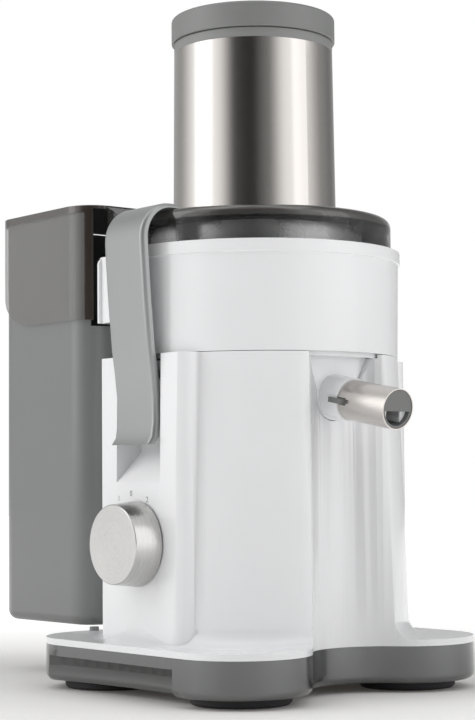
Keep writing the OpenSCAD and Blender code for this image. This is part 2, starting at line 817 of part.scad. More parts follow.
module cutting_disc() color("silver") {
    low = filter_floor + sheet + 1;
    tooth_rows = 4;
    difference() {
        union() {
            translate([0, 0, low]) cylinder(h = 1.2, r = disc_r);
            for (row = [1:tooth_rows], i = [0:11])
                rotate([0, 0, i * 30 + row * 9]) translate([6 + row * 8, 0, low + 1.2 + 0.8])
                    rotate([0, 0, 25]) cube([1, 3, 2], center = true);
            translate([0, 0, low]) cylinder(h = 4.4, r1 = 8, r2 = 5);
        }
        translate([0, 0, low - 1]) cylinder(h = 3.2, r = 3);
    }
}

module drive_coupling() color("dimgray") {
    low = seam_z + 1.5;
    difference() {
        union() {
            translate([0, 0, low]) cylinder(h = coupling_top - low, r = 8.5);
            for (i = [0:5]) rotate([0, 0, i * 60]) translate([8.5, 0, low])
                cylinder(h = coupling_top - low, r = 2.4);
        }
        translate([0, 0, low - 1]) cylinder(h = 8, r = shaft_r);
    }
}

module motor_shaft() color("silver") translate([0, 0, fan_z - 2])
    cylinder(h = seam_z + 8.5 - fan_z + 2, r = shaft_r);

module rotor_core() color("slategray") difference() {
    tube(stator_z - 2, stator_h + 4, rotor_r, shaft_r);
    for (i = [0:11]) rotate([0, 0, i * 30]) translate([rotor_r, 0, stator_z + stator_h / 2])
        cube([8, 2, stator_h + 8], center = true);
}

module commutator() color("peru") tube(brush_z - 4, 13, commutator_r, shaft_r);

module cooling_fan() color("dimgray") {
    blades = 11;
    fan_h = 10;
    fan_r = 40;
    tube(fan_z, fan_h, 9, shaft_r);
    tube(fan_z, 1.6, fan_r, 8);
    for (i = [1:blades]) rotate([0, 0, i * 360 / blades]) translate([fan_r - 16, 0, fan_z + fan_h / 2])
        cube([31, 1.4, fan_h - 2], center = true);
}

// ---------------------------------------------------------------- motor

module ball_bearing(z) color("silver") rotate_extrude() difference() {
    translate([shaft_r + run, z]) square([bearing_r - shaft_r - run, bearing_h]);
    for (z_end = [z - 0.1, z + bearing_h - 0.6]) translate([shaft_r + 2.5, z_end])
        square([bearing_r - shaft_r - 5, 0.7]);
}

module bracket(z, hub_up) color("gainsboro") difference() {
    union() {
        translate([0, 0, z]) cylinder(h = plate_h, r = bracket_r);
        translate([0, 0, hub_up ? z : z + plate_h - bearing_h])
            cylinder(h = bearing_h, r = bearing_r + 3);
    }
    translate([0, 0, z - 10]) cylinder(h = 30, r = bearing_r);
    for (turn = [0:90:270]) rotate([0, 0, turn]) {
        translate([bolt_ring, 0, z - 1]) cylinder(h = plate_h + 2, r = bolt_r);
        rotate([0, 0, 45]) translate([boss_ring, 0, z - 1]) cylinder(h = plate_h + 2, r = stud_r);
        rotate([0, 0, 22.5]) translate([bearing_r + 16, 0, z - 1]) cylinder(h = plate_h + 2, r = 7);
    }
}

module stator_core() color("slategray") difference() {
    tube(stator_z, stator_h, stator_r, rotor_r + rotor_gap);
    for (i = [0:3]) rotate([0, 0, 45 + i * 90]) translate([stator_r, 0, stator_z - 1])
        cylinder(h = stator_h + 2, r = 5);
}

module stator_windings() color("peru") for (z = [stator_z - 7, stator_z + stator_h])
    tube(z, 7, stator_r - 4, rotor_r + rotor_gap + 2);

module brush_holders() color("goldenrod") for (turn = [0, 180]) rotate([0, 0, turn])
    translate([commutator_r + touch, -brush_w / 2, brush_z - 1]) {
        cube([24, brush_w, 6]);
        translate([10, 0, 5]) cube([14, brush_w, bracket_top_z - brush_z - 4]);
    }

module motor_bolts() color("silver") for (turn = [0:90:270]) rotate([0, 0, turn]) {
    translate([bolt_ring, 0, bracket_low_z - 3]) cylinder(h = 3, r = 3.5);
    translate([bolt_ring, 0, bracket_low_z - 3])
        cylinder(h = bracket_top_z - bracket_low_z + plate_h + 5, r = bolt_r);
    rotate([0, 0, 45]) translate([boss_ring, 0, bracket_top_z - 2.5]) {
        cylinder(h = 2.5, r = 3.2);
        cylinder(h = 12, r = stud_r);
    }
}

module shaft_seal() color("black") difference() {
    tube(well_z - 6, 8, hub_r + 2, shaft_r + 0.4);
    tube(well_z, 4, hub_r + 3, hub_r - 2);
}

module control_board() color("seagreen") translate([-30, panel_reach - 20, tray_z + tray_wall]) {
    cube([60, 1.6, 52]);
    translate([6, -9, 22]) cube([14, 9, 20]);
    translate([26, -7, 28]) cube([9, 7, 12]);
    translate([46, 0, 34]) rotate([90, 0, 0]) cylinder(h = 12, r = 6);
}

// ---------------------------------------------------------------- pulp container

module bin_outline(inset) translate([-(bin_reach + bin_far) / 2, 0])
    round_rect(bin_l - 2 * inset, bin_w - 2 * inset, bin_round - inset);

module pulp_container() color("gray") {
    difference() {
        translate([0, 0, bin_z]) linear_extrude(bin_top - bin_z) bin_outline(0);
        translate([0, 0, bin_z + bin_wall]) linear_extrude(bin_top) bin_outline(bin_wall);
        translate([-bin_reach - 10, -inlet_half, pulp_floor - wall - 1])
            cube([20, 2 * inlet_half, 200]);
    }
    along_y(bin_w - 2 * bin_round - 4) polygon([[-bin_far + bin_wall, bin_top - 8],
        [-bin_far, bin_top - 8], [-bin_far - lip_out, bin_top - 1],
        [-bin_far - lip_out, bin_top + 1], [-bin_far, bin_top],
        [-bin_far + bin_wall, bin_top]]);
}

// Side view of the cover: square at the inlet, a large round lower corner at the far end
module cover_side() {
    turn_x = cover_corner - cover_end;
    turn_z = cover_low + cover_corner;
    intersection() {
        translate([-cover_end, cover_low]) square([cover_end, cover_top - cover_low]);
        union() {
            translate([turn_x, cover_low]) square([cover_end, cover_top]);
            translate([-cover_end, turn_z]) square([cover_end, cover_top]);
            translate([turn_x, turn_z]) circle(cover_corner);
        }
    }
}

// A clear cap that follows the container's outline, open towards the duct
module container_cover() color("slategray", 0.6) intersection() {
    difference() {
        translate([0, 0, cover_low]) linear_extrude(cover_top - cover_low)
            bin_outline(-touch - clear_wall);
        translate([0, 0, cover_low - 1]) linear_extrude(cover_top - cover_low + 1 - clear_wall)
            bin_outline(-touch);
        translate([-bin_reach - bin_round, -inlet_half, cover_low - 1])
            cube([2 * bin_round, 2 * inlet_half, cover_top - cover_low + 1 - clear_wall]);
    }
    along_y(bin_w + 20) cover_side();
}

placed() motor_housing();
placed() base_tray();
placed() foot(-1, -1);  // foot_front_left
placed() foot(1, -1);  // foot_front_right
placed() foot(-1, 1);  // foot_rear_left
placed() foot(1, 1);  // foot_rear_right
placed() tray_screws();
placed() container_pegs();
placed() knob_shell();
placed() knob_core();
placed() switch_spindle();
placed() rotary_switch();
placed() color("lightgray") latch_arm();  // latch_front
placed() rear() color("lightgray") latch_arm();  // latch_rear
placed() color("silver") latch_pin();  // latch_pin_front
placed() rear() color("silver") latch_pin();  // latch_pin_rear
placed() color("gold") latch_spring();  // latch_spring_front
placed() rear() color("gold") latch_spring();  // latch_spring_rear
placed() interlock_plunger();
placed() interlock_switch();
placed() bowl();
placed() juice_cup();
placed() spout_housing();
placed() bowl_seal();
placed() lid();
placed() feed_chute();
placed() tube_sleeve();
placed() tube_rim();
placed() translate([0, 0, cap_z]) pusher_cap();
placed() pusher_body();
placed() filter_basket();
placed() basket_floor();
placed() basket_hub();
placed() cutting_disc();
placed() drive_coupling();
placed() motor_shaft();
placed() rotor_core();
placed() commutator();
placed() cooling_fan();
placed() ball_bearing(bracket_top_z);  // bearing_top
placed() ball_bearing(bracket_low_z - bearing_h + plate_h);  // bearing_bottom
placed() stator_core();
placed() stator_windings();
placed() bracket(bracket_top_z, true);  // bracket_top
placed() bracket(bracket_low_z, false);  // bracket_bottom
placed() brush_holders();
placed() motor_bolts();
placed() shaft_seal();
placed() spout_sleeve();
placed() spout_core();
placed() pulp_container();
placed() container_cover();
placed() control_board();
placed() cord_inlet();
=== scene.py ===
# %% [markdown]
# # A centrifugal juicer
# The machine's parts come in as a fixed frame: a white motor body on a grey lobed tray, a
# bowl with a turning spout, a smoky lid with a wide steel feed tube, two hook latches and
# a pulp container. This lesson rounds the edges that a hand would feel and gives every
# part its finish. All sizes are metres, +Z is up and the knob faces -Y.

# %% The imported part
import json
import math

import bmesh
import bpy
from mathutils import Matrix, Vector


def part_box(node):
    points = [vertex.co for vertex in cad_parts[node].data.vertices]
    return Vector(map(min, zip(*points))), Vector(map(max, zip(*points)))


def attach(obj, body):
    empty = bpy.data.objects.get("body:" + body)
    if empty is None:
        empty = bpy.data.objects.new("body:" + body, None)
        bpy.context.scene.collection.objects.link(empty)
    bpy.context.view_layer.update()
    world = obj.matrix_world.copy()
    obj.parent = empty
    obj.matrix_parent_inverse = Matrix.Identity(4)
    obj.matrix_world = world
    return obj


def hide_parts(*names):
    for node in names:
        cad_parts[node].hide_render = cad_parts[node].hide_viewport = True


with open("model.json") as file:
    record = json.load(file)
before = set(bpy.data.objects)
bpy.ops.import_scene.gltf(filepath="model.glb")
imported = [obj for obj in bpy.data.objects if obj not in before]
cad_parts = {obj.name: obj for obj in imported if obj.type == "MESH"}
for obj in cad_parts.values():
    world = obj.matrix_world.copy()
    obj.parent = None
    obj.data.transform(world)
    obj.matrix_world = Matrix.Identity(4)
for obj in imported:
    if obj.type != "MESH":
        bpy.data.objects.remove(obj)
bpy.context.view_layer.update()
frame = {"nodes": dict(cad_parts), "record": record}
NODES = frame["nodes"]
MM = 0.001

# %% [markdown]
# The motor's upright axis is the line that most pieces turn about. It isn't the origin,
# because the origin is the middle of the whole footprint, so it is measured from the lid.

# %% The motor axis
tube_low, tube_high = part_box("tube_sleeve")
AXIS = Vector(((tube_low.x + tube_high.x) / 2, (tube_low.y + tube_high.y) / 2, 0))
SLOT_OF = {s["node"]: s["material_slot"] for s in frame["record"]["subparts"]}
BODY_OF = {n: b for b, nodes in frame["record"]["behaviour"]["bodies"].items() for n in nodes}
print("motor axis at x", round(AXIS.x, 4))

# %% [markdown]
# Shader maths reads best as plain expressions. `Value` wraps one output socket, so that
# `1 - mask * 0.2` adds the Math nodes by itself. `Finish` holds one material's nodes, and
# its `node` method makes any other node: its settings first, then its inputs.


# %% Shader expressions
class Value:
    """One output socket that Python can calculate with."""

    def __init__(self, finish, socket):
        self.finish = finish
        self.socket = socket

    def math(self, operation, *others):
        inputs = {i: v for i, v in enumerate((self, *others))}
        return self.finish.node("ShaderNodeMath", {"operation": operation}, inputs)

    def __add__(self, other):
        return self.math("ADD", other)

    def __mul__(self, other):
        return self.math("MULTIPLY", other)

    def __sub__(self, other):
        return self.math("SUBTRACT", other)

    def __rsub__(self, other):
        return self.finish.node("ShaderNodeMath", {"operation": "SUBTRACT"}, {0: other, 1: self})

    __radd__ = __add__
    __rmul__ = __mul__

    def ramp(self, low, high, out_low=0.0, out_high=1.0):
        values = {"Value": self, "From Min": low, "From Max": high}
        values.update({"To Min": out_low, "To Max": out_high})
        return self.finish.node("ShaderNodeMapRange", {"clamp": True}, values)


class Finish:
    """The node tree of one material or of the world."""

    def __init__(self, owner):
        owner.use_nodes = True
        self.owner = owner
        self.tree = owner.node_tree
        self.tree.nodes.clear()

    def node(self, kind, settings=None, inputs=None, output=0):
        made = self.tree.nodes.new(kind)
        for name, value in (settings or {}).items():
            setattr(made, name, value)
        for key, value in (inputs or {}).items():
            self.put(made.inputs[key], value)
        return Value(self, made.outputs[output])

    def put(self, socket, value):
        if isinstance(value, Value):
            self.tree.links.new(value.socket, socket)
        else:
            socket.default_value = value

    def place(self, stretch=(1, 1, 1), centre=(0, 0, 0)):
        """Object coordinates in metres, moved to a centre and stretched."""
        here = self.node("ShaderNodeTexCoord", output="Object")
        moved = self.node("ShaderNodeVectorMath", {"operation": "SUBTRACT"}, {0: here, 1: centre})
        return self.node("ShaderNodeVectorMath", {"operation": "MULTIPLY"}, {0: moved, 1: stretch})

    def noise(self, scale, stretch=(1, 1, 1), detail=3.0, centre=(0, 0, 0)):
        values = {"Vector": self.place(stretch, centre), "Scale": scale, "Detail": detail}
        return self.node("ShaderNodeTexNoise", None, values)

    def tint(self, amount, dark, light):
        """A colour between two others; each may be plain numbers or a socket."""
        made = self.tree.nodes.new("ShaderNodeMix")
        made.data_type = "RGBA"
        self.put(made.inputs[0], amount)
        self.put(made.inputs[6], dark if isinstance(dark, Value) else (*dark, 1))
        self.put(made.inputs[7], light if isinstance(light, Value) else (*light, 1))
        return Value(self, made.outputs[2])

    def axis(self, letter, centre=(0, 0, 0)):
        """One object coordinate in metres."""
        return self.node("ShaderNodeSeparateXYZ", None, {0: self.place(centre=centre)}, letter)

    def bump(self, height, depth, strength=1.0):
        values = {"Height": height, "Distance": depth, "Strength": strength}
        return self.node("ShaderNodeBump", None, values)

    def finish(self, **inputs):
        surface = self.tree.nodes.new("ShaderNodeBsdfPrincipled")
        for name, value in inputs.items():
            self.put(surface.inputs[name.replace("_", " ")], value)
        out = self.tree.nodes.new("ShaderNodeOutputMaterial")
        self.tree.links.new(surface.outputs[0], out.inputs["Surface"])
        return self.owner


def new_finish(name):
    return Finish(bpy.data.materials.new(name))


def shade(colour, factor):
    return tuple(min(1.0, c * factor) for c in colour)


print("shader helpers ready")

# %% [markdown]
# ## Moulded plastics
# A gloss moulding is never perfectly even. The tool leaves a faint wave that reflections
# show, and the surface holds a little dust and fine scuffing, which change the roughness.
# A matt moulding has spark-eroded grain: small round pits close together.


# %% Moulded plastics
def gloss_plastic(name, colour, roughness, coat=0.3, wave=0.02, metallic=0.0):
    f = new_finish(name)
    cloud = f.noise(28)
    scuff = f.noise(150, (1, 1, 0.5), 2)
    flow = f.noise(9, detail=1.0)
    colour_now = f.tint(cloud, shade(colour, 0.98), shade(colour, 1.02))
    rough_now = scuff.ramp(0.3, 0.7, roughness * 0.95, roughness * 1.08)
    normal = f.bump(flow, wave * MM, 1.0)
    f.finish(Base_Color=colour_now, Roughness=rough_now, Coat_Weight=coat, Metallic=metallic,
             Coat_Roughness=0.06, Normal=normal, IOR=1.5)
    return f.owner


def grained_plastic(name, colour, roughness, grain=2600, depth=0.03):
    f = new_finish(name)
    pits = f.node("ShaderNodeTexVoronoi", {"feature": "SMOOTH_F1"},
                  {"Vector": f.place(), "Scale": grain, "Smoothness": 0.6})
    cloud = f.noise(45)
    colour_now = f.tint(cloud, shade(colour, 0.93), shade(colour, 1.05))
    rough_now = cloud.ramp(0.3, 0.7, roughness * 0.9, roughness * 1.1)
    f.finish(Base_Color=colour_now, Roughness=rough_now, Normal=f.bump(pits, depth * MM, 0.6))
    return f.owner


print("plastics ready")

# %% [markdown]
# ## Metals
# Brushed steel is drawn through a belt, so its scratches all run one way. Noise that is
# squeezed along one axis gives such lines. They spread a reflection across themselves,
# which is what makes the soft upright bands on a brushed tube.


# %% Metals
def brushed_metal(name, colour, roughness, stretch=(1, 1, 60), scale=60, anisotropic=0.0,
                  depth=0.004):
    f = new_finish(name)
    lines = f.noise(scale, stretch, 3)
    broad = f.noise(14, (1, 1, 2), 2)
    colour_now = f.tint(lines * 0.6 + broad * 0.4, shade(colour, 0.95), shade(colour, 1.05))
    rough_now = lines.ramp(0.3, 0.7, roughness * 0.85, roughness * 1.2)
    f.finish(Base_Color=colour_now, Metallic=1.0, Roughness=rough_now, Anisotropic=anisotropic,
             Normal=f.bump(lines, depth * MM, 0.5))
    return f.owner


def plain_metal(name, colour, roughness, mottle=90):
    f = new_finish(name)
    cloud = f.noise(mottle)
    fine = f.noise(1800)
    colour_now = f.tint(cloud, shade(colour, 0.85), shade(colour, 1.08))
    rough_now = fine.ramp(0.3, 0.7, roughness * 0.8, roughness * 1.3)
    f.finish(Base_Color=colour_now, Metallic=1.0, Roughness=rough_now,
             Normal=f.bump(fine, 0.01 * MM, 0.4))
    return f.owner


print("metals ready")

# %% [markdown]
# ## Turned aluminium
# The knob's face is cut on a lathe, which leaves fine concentric grooves. They are a
# noise that only depends on the distance from the knob's axis. Their bump softens what
# the face reflects. It is too even to give the bright bow tie of real turned metal.


# %% Turned aluminium
def turned_metal(name, colour, roughness, centre, groove=5200, depth=0.03):
    f = new_finish(name)
    flat = f.place((1, 0, 1), centre)
    reach = f.node("ShaderNodeVectorMath", {"operation": "LENGTH"}, {0: flat}, "Value")
    along = f.place((0, 1, 0), centre)
    depth_in = f.node("ShaderNodeVectorMath", {"operation": "LENGTH"}, {0: along}, "Value")
    line = f.node("ShaderNodeCombineXYZ", None, {0: reach, 1: depth_in, 2: 0.0})
    rings = f.node("ShaderNodeTexNoise", None, {"Vector": line, "Scale": groove, "Detail": 2.0})
    broad = f.noise(30)
    colour_now = f.tint(rings * 0.5 + broad * 0.5, shade(colour, 0.9), shade(colour, 1.06))
    rough_now = rings.ramp(0.3, 0.7, roughness * 0.85, roughness * 1.2)
    f.finish(Base_Color=colour_now, Metallic=1.0, Roughness=rough_now,
             Normal=f.bump(rings, depth * MM, 0.8))
    return f.owner


print("turned metal ready")

# %% [markdown]
# ## Smoky clear plastic
# The lid and the container's cover are clear plastic with a little carbon in it. A ray
# that meets the wall at a low angle crosses more of it, so a Facing value raises the
# alpha there. Rounded rims are solid plastic and look nearly opaque, so each part also
# says where its rim is.


# %% Clear plastic
def smoky(name, colour, alpha, edge_alpha, rim, rim_colour):
    f = new_finish(name)
    facing = f.node("ShaderNodeLayerWeight", None, {"Blend": 0.4}, "Facing")
    haze = f.noise(60)
    band = rim(f)
    clear = f.tint(haze, shade(colour, 0.95), shade(colour, 1.05))
    seen = facing.ramp(0.2, 0.95, alpha, edge_alpha)
    f.finish(Base_Color=f.tint(band, clear, rim_colour), Roughness=haze.ramp(0.3, 0.7, 0.05, 0.09),
             Alpha=seen * (1 - band) + band * 0.95, IOR=1.5, Coat_Weight=1.0,
             Coat_Roughness=0.03, Normal=f.bump(f.noise(8, detail=1.0), 0.01 * MM))
    return f.owner


LID_TOP = tube_low.z
LID_ROUND = 6.4 * MM
COVER_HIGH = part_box("container_cover")[1]
BEAD_TOP = 4.6 * MM
BEAD_INLET = 7.0 * MM


def lid_rim(f):
    """The rounded edge between the lid's wall and its top."""
    height = f.axis("Z")
    wall_end = LID_TOP - LID_ROUND
    top_start = LID_TOP + 0.5 * MM
    return height.ramp(wall_end, wall_end + 1 * MM) * height.ramp(
        top_start, top_start + 1 * MM, 1.0, 0.35)


def cover_rim(f):
    """The thick bead round the cover's top and down both sides of its inlet."""
    soft_edge = 0.6 * MM
    top_from = COVER_HIGH.z - BEAD_TOP
    inlet_from = COVER_HIGH.x - BEAD_INLET
    top = f.axis("Z").ramp(top_from, top_from + soft_edge)
    inlet = f.axis("X").ramp(inlet_from, inlet_from + soft_edge)
    return top.math("MAXIMUM", inlet)


print("clear plastic ready")

# %% [markdown]
# ## Motor finishes
# Laminated cores show the edges of thin steel sheets, windings show round wires side by
# side, and a circuit board has green lacquer over darker copper tracks.


# %% Motor finishes
def striped(name, dark, light, spacing, metallic, roughness):
    f = new_finish(name)
    wave = (f.axis("Z") * (math.tau / (spacing * MM))).math("SINE")
    band = wave.ramp(-1, 1)
    grime = f.noise(70)
    f.finish(Base_Color=f.tint(band * 0.7 + grime * 0.3, dark, light), Metallic=metallic,
             Roughness=grime.ramp(0.3, 0.7, roughness * 0.8, roughness * 1.2),
             Normal=f.bump(band, spacing * 0.15 * MM))
    return f.owner


def circuit_board(name):
    f = new_finish(name)
    tracks = f.node("ShaderNodeTexVoronoi", {"feature": "DISTANCE_TO_EDGE"},
                    {"Vector": f.place((1, 0, 1)), "Scale": 170})
    line = tracks.ramp(0.03, 0.06)
    f.finish(Base_Color=f.tint(line, (0.03, 0.28, 0.11), (0.012, 0.12, 0.05)), Roughness=0.3,
             Normal=f.bump(line, 0.03 * MM))
    return f.owner


print("motor finishes ready")

# %% [markdown]
# ## Filter sheet
# The basket's wall is etched with fine holes on a slanting grid. Sines of the angle and
# the height give dark round dots, which stand for the holes. The rim band above them is
# plain.


# %% Filter sheet
HOLES_ROUND = 120
HOLE_RISE = 2.4 * MM
PLAIN_FROM = 246.5 * MM


def etched_sheet(name, colour):
    f = new_finish(name)
    height = f.axis("Z", AXIS)
    angle = f.axis("Y", AXIS).math("ARCTAN2", f.axis("X", AXIS))
    dots = (angle * HOLES_ROUND).math("SINE") * (height * (math.tau / HOLE_RISE)).math("SINE")
    rim_band = height.ramp(PLAIN_FROM, PLAIN_FROM + 1 * MM)
    hole = dots.ramp(0.35, 0.55) * (1 - rim_band)
    wear = f.noise(50)
    f.finish(Base_Color=f.tint(hole, colour, (0.05, 0.05, 0.05)), Metallic=1.0,
             Roughness=wear.ramp(0.3, 0.7, 0.2, 0.34), Normal=f.bump(1 - hole, 0.1 * MM))
    return f.owner


print("filter finish ready")

# %% [markdown]
# ## One finish for each kind of surface
# Each part names the surface it is made with. The table below makes one material for
# each name, and every part of the frame takes its own.

# %% The table of finishes
knob_low, knob_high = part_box("knob_shell")
KNOB = Vector(((knob_low.x + knob_high.x) / 2, knob_high.y, (knob_low.z + knob_high.z) / 2))

FINISHES = {
    "gloss_white": gloss_plastic("gloss_white", (0.86, 0.865, 0.875), 0.22, 0.25),
    "tray_grey": gloss_plastic("tray_grey", (0.15, 0.154, 0.152), 0.22, 0.4, metallic=0.7),
    "soft_rubber": grained_plastic("soft_rubber", (0.035, 0.035, 0.038), 0.75),
    "screw_steel": plain_metal("screw_steel", (0.55, 0.55, 0.56), 0.3),
    "peg_grey": grained_plastic("peg_grey", (0.25, 0.26, 0.26), 0.5),
    "knob_aluminium": turned_metal("knob_aluminium", (0.56, 0.555, 0.545), 0.26, KNOB),
    "dark_plastic": grained_plastic("dark_plastic", (0.16, 0.165, 0.16), 0.45),
    "shaft_steel": brushed_metal("shaft_steel", (0.55, 0.55, 0.56), 0.25),
    "switch_cream": grained_plastic("switch_cream", (0.6, 0.57, 0.48), 0.5),
    "latch_satin": gloss_plastic("latch_satin", (0.34, 0.35, 0.35), 0.3, 0.2, metallic=0.5),
    "spring_steel": brushed_metal("spring_steel", (0.5, 0.5, 0.5), 0.3),
    "plunger_grey": grained_plastic("plunger_grey", (0.3, 0.3, 0.3), 0.5),
    "black_plastic": grained_plastic("black_plastic", (0.03, 0.03, 0.03), 0.5),
    "seal_silicone": grained_plastic("seal_silicone", (0.32, 0.32, 0.32), 0.7, 1500),
    "smoke_clear": smoky("smoke_clear", (0.05, 0.05, 0.05), 0.2, 0.8, lid_rim,
                         (0.05, 0.048, 0.045)),
    "tube_steel": brushed_metal("tube_steel", (0.6, 0.575, 0.55), 0.17, (4, 4, 160), 45, 0.4),
    "ring_grey": grained_plastic("ring_grey", (0.24, 0.245, 0.24), 0.42, depth=0.01),
    "cap_grey": grained_plastic("cap_grey", (0.21, 0.215, 0.21), 0.42, depth=0.01),
    "pusher_clear": gloss_plastic("pusher_clear", (0.5, 0.51, 0.51), 0.2),
    "filter_steel": etched_sheet("filter_steel", (0.6, 0.6, 0.6)),
    "disc_steel": brushed_metal("disc_steel", (0.6, 0.6, 0.6), 0.3, (1, 30, 1), 80),
    "copper": striped("copper", (0.3, 0.1, 0.04), (0.62, 0.28, 0.12), 0.9, 1.0, 0.35),
    "lamination": striped("lamination", (0.08, 0.08, 0.09), (0.26, 0.26, 0.27), 1.0, 0.8, 0.45),
    "bearing_chrome": plain_metal("bearing_chrome", (0.6, 0.6, 0.62), 0.15),
    "bracket_aluminium": plain_metal("bracket_aluminium", (0.6, 0.6, 0.6), 0.4, 200),
    "brass": plain_metal("brass", (0.7, 0.5, 0.25), 0.3),
    "spout_steel": brushed_metal("spout_steel", (0.62, 0.59, 0.56), 0.22, (1, 30, 30), 60),
    "bin_grey": gloss_plastic("bin_grey", (0.18, 0.186, 0.183), 0.3, 0.3),
    "board_green": circuit_board("board_green"),
}
FINISH_OF = {node: FINISHES[SLOT_OF[node]] for node in NODES}
FINISH_OF["container_cover"] = smoky("cover_clear", (0.22, 0.216, 0.21), 0.34, 0.85, cover_rim,
                                     (0.045, 0.036, 0.03))
FINISH_OF["feed_chute"] = smoky("chute_clear", (0.08, 0.08, 0.08), 0.4, 0.85,
                                lambda f: f.axis("Z").ramp(0.9, 1.0), (0.05, 0.05, 0.05))
for node, part in NODES.items():
    part.data.materials.clear()
    part.data.materials.append(FINISH_OF[node])
print("finishes", len(FINISHES))

# %% [markdown]
# ## Rounded edges
# A moulding has no knife edges: the tool is cut with a small radius, and that radius is
# what catches the light. The part's own mesh is copied, its loose triangles are welded
# and flat ones joined, and then the bevel operator rounds the edges that turn sharply.


# %% A copy with rounded edges
WELD = 0.004 * MM
FLAT = math.radians(0.6)
SHARP = math.radians(35)
CREASE = math.radians(32)


def softened(node, radius, segments=3, chosen=None):
    """Copies a part, rounds its edges and lets the copy stand for the part."""
    bm = bmesh.new()
    bm.from_mesh(NODES[node].data)
    bmesh.ops.remove_doubles(bm, verts=bm.verts, dist=WELD)
    bmesh.ops.dissolve_limit(bm, angle_limit=FLAT, verts=bm.verts, edges=bm.edges)
    picked = []
    for edge in bm.edges:
        if len(edge.link_faces) != 2 or edge.calc_face_angle(0) < SHARP:
            continue
        middle = (edge.verts[0].co + edge.verts[1].co) / 2 - AXIS
        if chosen is None or chosen(middle / MM, edge):
            picked.append(edge)
    bmesh.ops.bevel(bm, geom=picked, offset=radius * MM, offset_type="OFFSET",
                    affect="EDGES", segments=segments, profile=0.5, material=-1,
                    clamp_overlap=True)
    mesh = bpy.data.meshes.new(node + "_rounded")
    bm.to_mesh(mesh)
    bm.free()
    mesh.shade_smooth()
    mesh.set_sharp_from_angle(angle=CREASE)
    piece = bpy.data.objects.new(node + "_rounded", mesh)
    bpy.context.scene.collection.objects.link(piece)
    mesh.materials.append(FINISH_OF[node])
    shading = piece.modifiers.new("even_shading", "WEIGHTED_NORMAL")
    shading.keep_sharp = True
    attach(piece, BODY_OF[node])
    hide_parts(node)
    print(node, "rounded by", radius, "mm,", len(mesh.polygons), "faces")


# %% [markdown]
# Each rule below names some edges by where they are, in millimetres from the motor axis.
# A round of 1 mm or less is what a tool leaves. The tray, the container and the latch
# arms have larger ones, because hands carry and press them.


# %% Which edges get rounded
def height_of(node, end):
    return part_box(node)[end].z / MM


LEVEL = 0.1
TRAY_LOW = height_of("base_tray", 0)
DECK_EDGE = height_of("base_tray", 1) + 3.5
BIN_LOW = height_of("pulp_container", 0)
SEAT_R = 29
VENT_HALF = 36
ARM_HALF = 17.5
BOWL_R = 79.2
SPOUT_X = 66
SPOUT_TOP = 185
FEET = [sum(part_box(n), Vector()) / 2 - AXIS for n in NODES if n.startswith("foot_")]


def lies_at(height, edge):
    return all(abs(v.co.z / MM - height) < LEVEL for v in edge.verts)


def tray_underside(at, edge):
    """The tray's outer lower edge, away from the feet's seats and the vents."""
    seat = any(math.hypot(at.x - c.x / MM, at.y - c.y / MM) < SEAT_R for c in FEET)
    vent = abs(at.x) < VENT_HALF and abs(at.y) < VENT_HALF
    return lies_at(TRAY_LOW, edge) and not seat and not vent


def bin_underside(at, edge):
    """The container's lower outer edge."""
    return lies_at(BIN_LOW, edge)


def deck_edge(at, edge):
    """The upper outer edge of the deck."""
    return lies_at(DECK_EDGE, edge) and edge.is_convex


def arm_sides(outward):
    """Edges between a latch arm's outer face and its two sides."""
    def rule(at, edge):
        outer = any((f.normal.y * outward + f.normal.z) > 0.1 and abs(f.normal.x) < 0.3
                    for f in edge.link_faces)
        return abs(at.x) > ARM_HALF and outer
    return rule


def bowl_outside(at, edge):
    """Collar, seam and spout edges of the bowl that can be touched."""
    by_spout = at.x > SPOUT_X and at.z < SPOUT_TOP
    return edge.is_convex and (math.hypot(at.x, at.y) > BOWL_R or by_spout)


softened("knob_shell", 0.9)
softened("pusher_cap", 0.5)
softened("tube_rim", 0.4)
softened("latch_front", 2.6, 5, chosen=arm_sides(-1))
softened("latch_rear", 2.6, 5, chosen=arm_sides(1))
softened("pulp_container", 6.0, 6, chosen=bin_underside)
softened("base_tray", 8.0, 7, chosen=tray_underside)
softened("motor_housing", 0.8, 3, chosen=deck_edge)
softened("bowl", 0.4, 2, chosen=bowl_outside)
softened("spout_housing", 0.4, 2, chosen=bowl_outside)

# %% [markdown]
# ## Dial figures
# Three small printed figures stand above the knob. Text is made a mesh first, and then
# the mesh is moved to its place on the panel, so that the object itself stays unturned.


# %% Dial figures
FIGURE_SIZE = 4.4 * MM
FIGURE_DEPTH = 0.04 * MM
PANEL_LEAN = math.radians(90.7)


def dial_figure(figure, x, z, face_y):
    letters = bpy.data.curves.new("figure_" + figure, "FONT")
    letters.body = figure
    letters.size = FIGURE_SIZE
    letters.extrude = FIGURE_DEPTH
    letters.align_x = "CENTER"
    letters.align_y = "CENTER"
    maker = bpy.data.objects.new("figure_maker", letters)
    bpy.context.scene.collection.objects.link(maker)
    bpy.context.view_layer.update()
    mesh = bpy.data.meshes.new_from_object(maker)
    bpy.data.objects.remove(maker)
    mesh.transform(Matrix.Translation((AXIS.x + x * MM, face_y, z * MM))
                   @ Matrix.Rotation(PANEL_LEAN, 4, "X"))
    mesh.materials.clear()
    mesh.materials.append(FINISHES["peg_grey"])
    piece = bpy.data.objects.new("dial_figure_" + figure, mesh)
    bpy.context.scene.collection.objects.link(piece)
    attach(piece, "chassis")


panel_face = KNOB.y + 0.9 * MM
for figure, x, z in (("1", -17.6, 107.5), ("0", -6.3, 110.3), ("2", 8.4, 107.0)):
    dial_figure(figure, x, z, panel_face)
print("dial figures on the panel")

